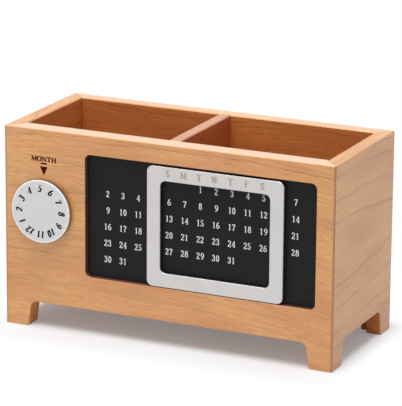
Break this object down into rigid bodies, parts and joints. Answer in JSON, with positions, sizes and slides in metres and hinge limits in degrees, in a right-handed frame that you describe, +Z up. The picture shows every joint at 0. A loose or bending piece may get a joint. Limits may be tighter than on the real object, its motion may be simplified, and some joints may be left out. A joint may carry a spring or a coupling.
{
  "type": "desk calendar with pencil box",
  "caption": "Open wooden pencil box on cut-out feet, split by a partition, whose thick front carries a perpetual calendar: a frame sliding over printed days and a turning month dial.",
  "frame": {"origin": "centre of the whole object's footprint, with the dial that stands proud of the front, on the surface that the feet stand on", "axes": "+X to the right as seen from the front, +Y from the front to the back, +Z up"},
  "size_m": [0.174, 0.0778, 0.1007],
  "materials": {
    "beech": "satin lacquer",
    "plywood": "raw",
    "date_plate": "matt black paint on steel sheet",
    "tape": "adhesive sheet",
    "slider_frame": "fine matt, bevelled",
    "magnet": "flexible magnet",
    "dial": "matt pale paint",
    "steel": "zinc plated",
    "brass": "turned",
    "nylon": "smooth"
  },
  "bodies": {
    "case": {"front_panel": "beech", "back_panel": "beech", "left_end_panel": "beech", "right_end_panel": "beech", "floor_board": "beech", "centre_partition": "beech", "mitre_splines": "plywood", "date_plate": "date_plate", "date_plate_tape": "tape", "dial_bush": "brass", "dial_glide_washer": "nylon", "dial_spring_washer": "steel"},
    "slider": {"slider_frame": "slider_frame", "slider_magnet": "magnet"},
    "dial": {"month_dial": "dial", "dial_spindle": "steel", "dial_flat_washer": "steel", "dial_nut": "steel"}
  },
  "joints": [
    {"name": "weekday_slide", "type": "slide", "parent": "case", "child": "slider", "axis": [1, 0, 0], "range_m": [-0.0328, 0.0164]},
    {"name": "month_turn", "type": "hinge", "parent": "case", "child": "dial", "pos_m": [-0.0661, -0.03592, 0.0603], "axis": [0, 1, 0], "continuous": true}
  ]
}
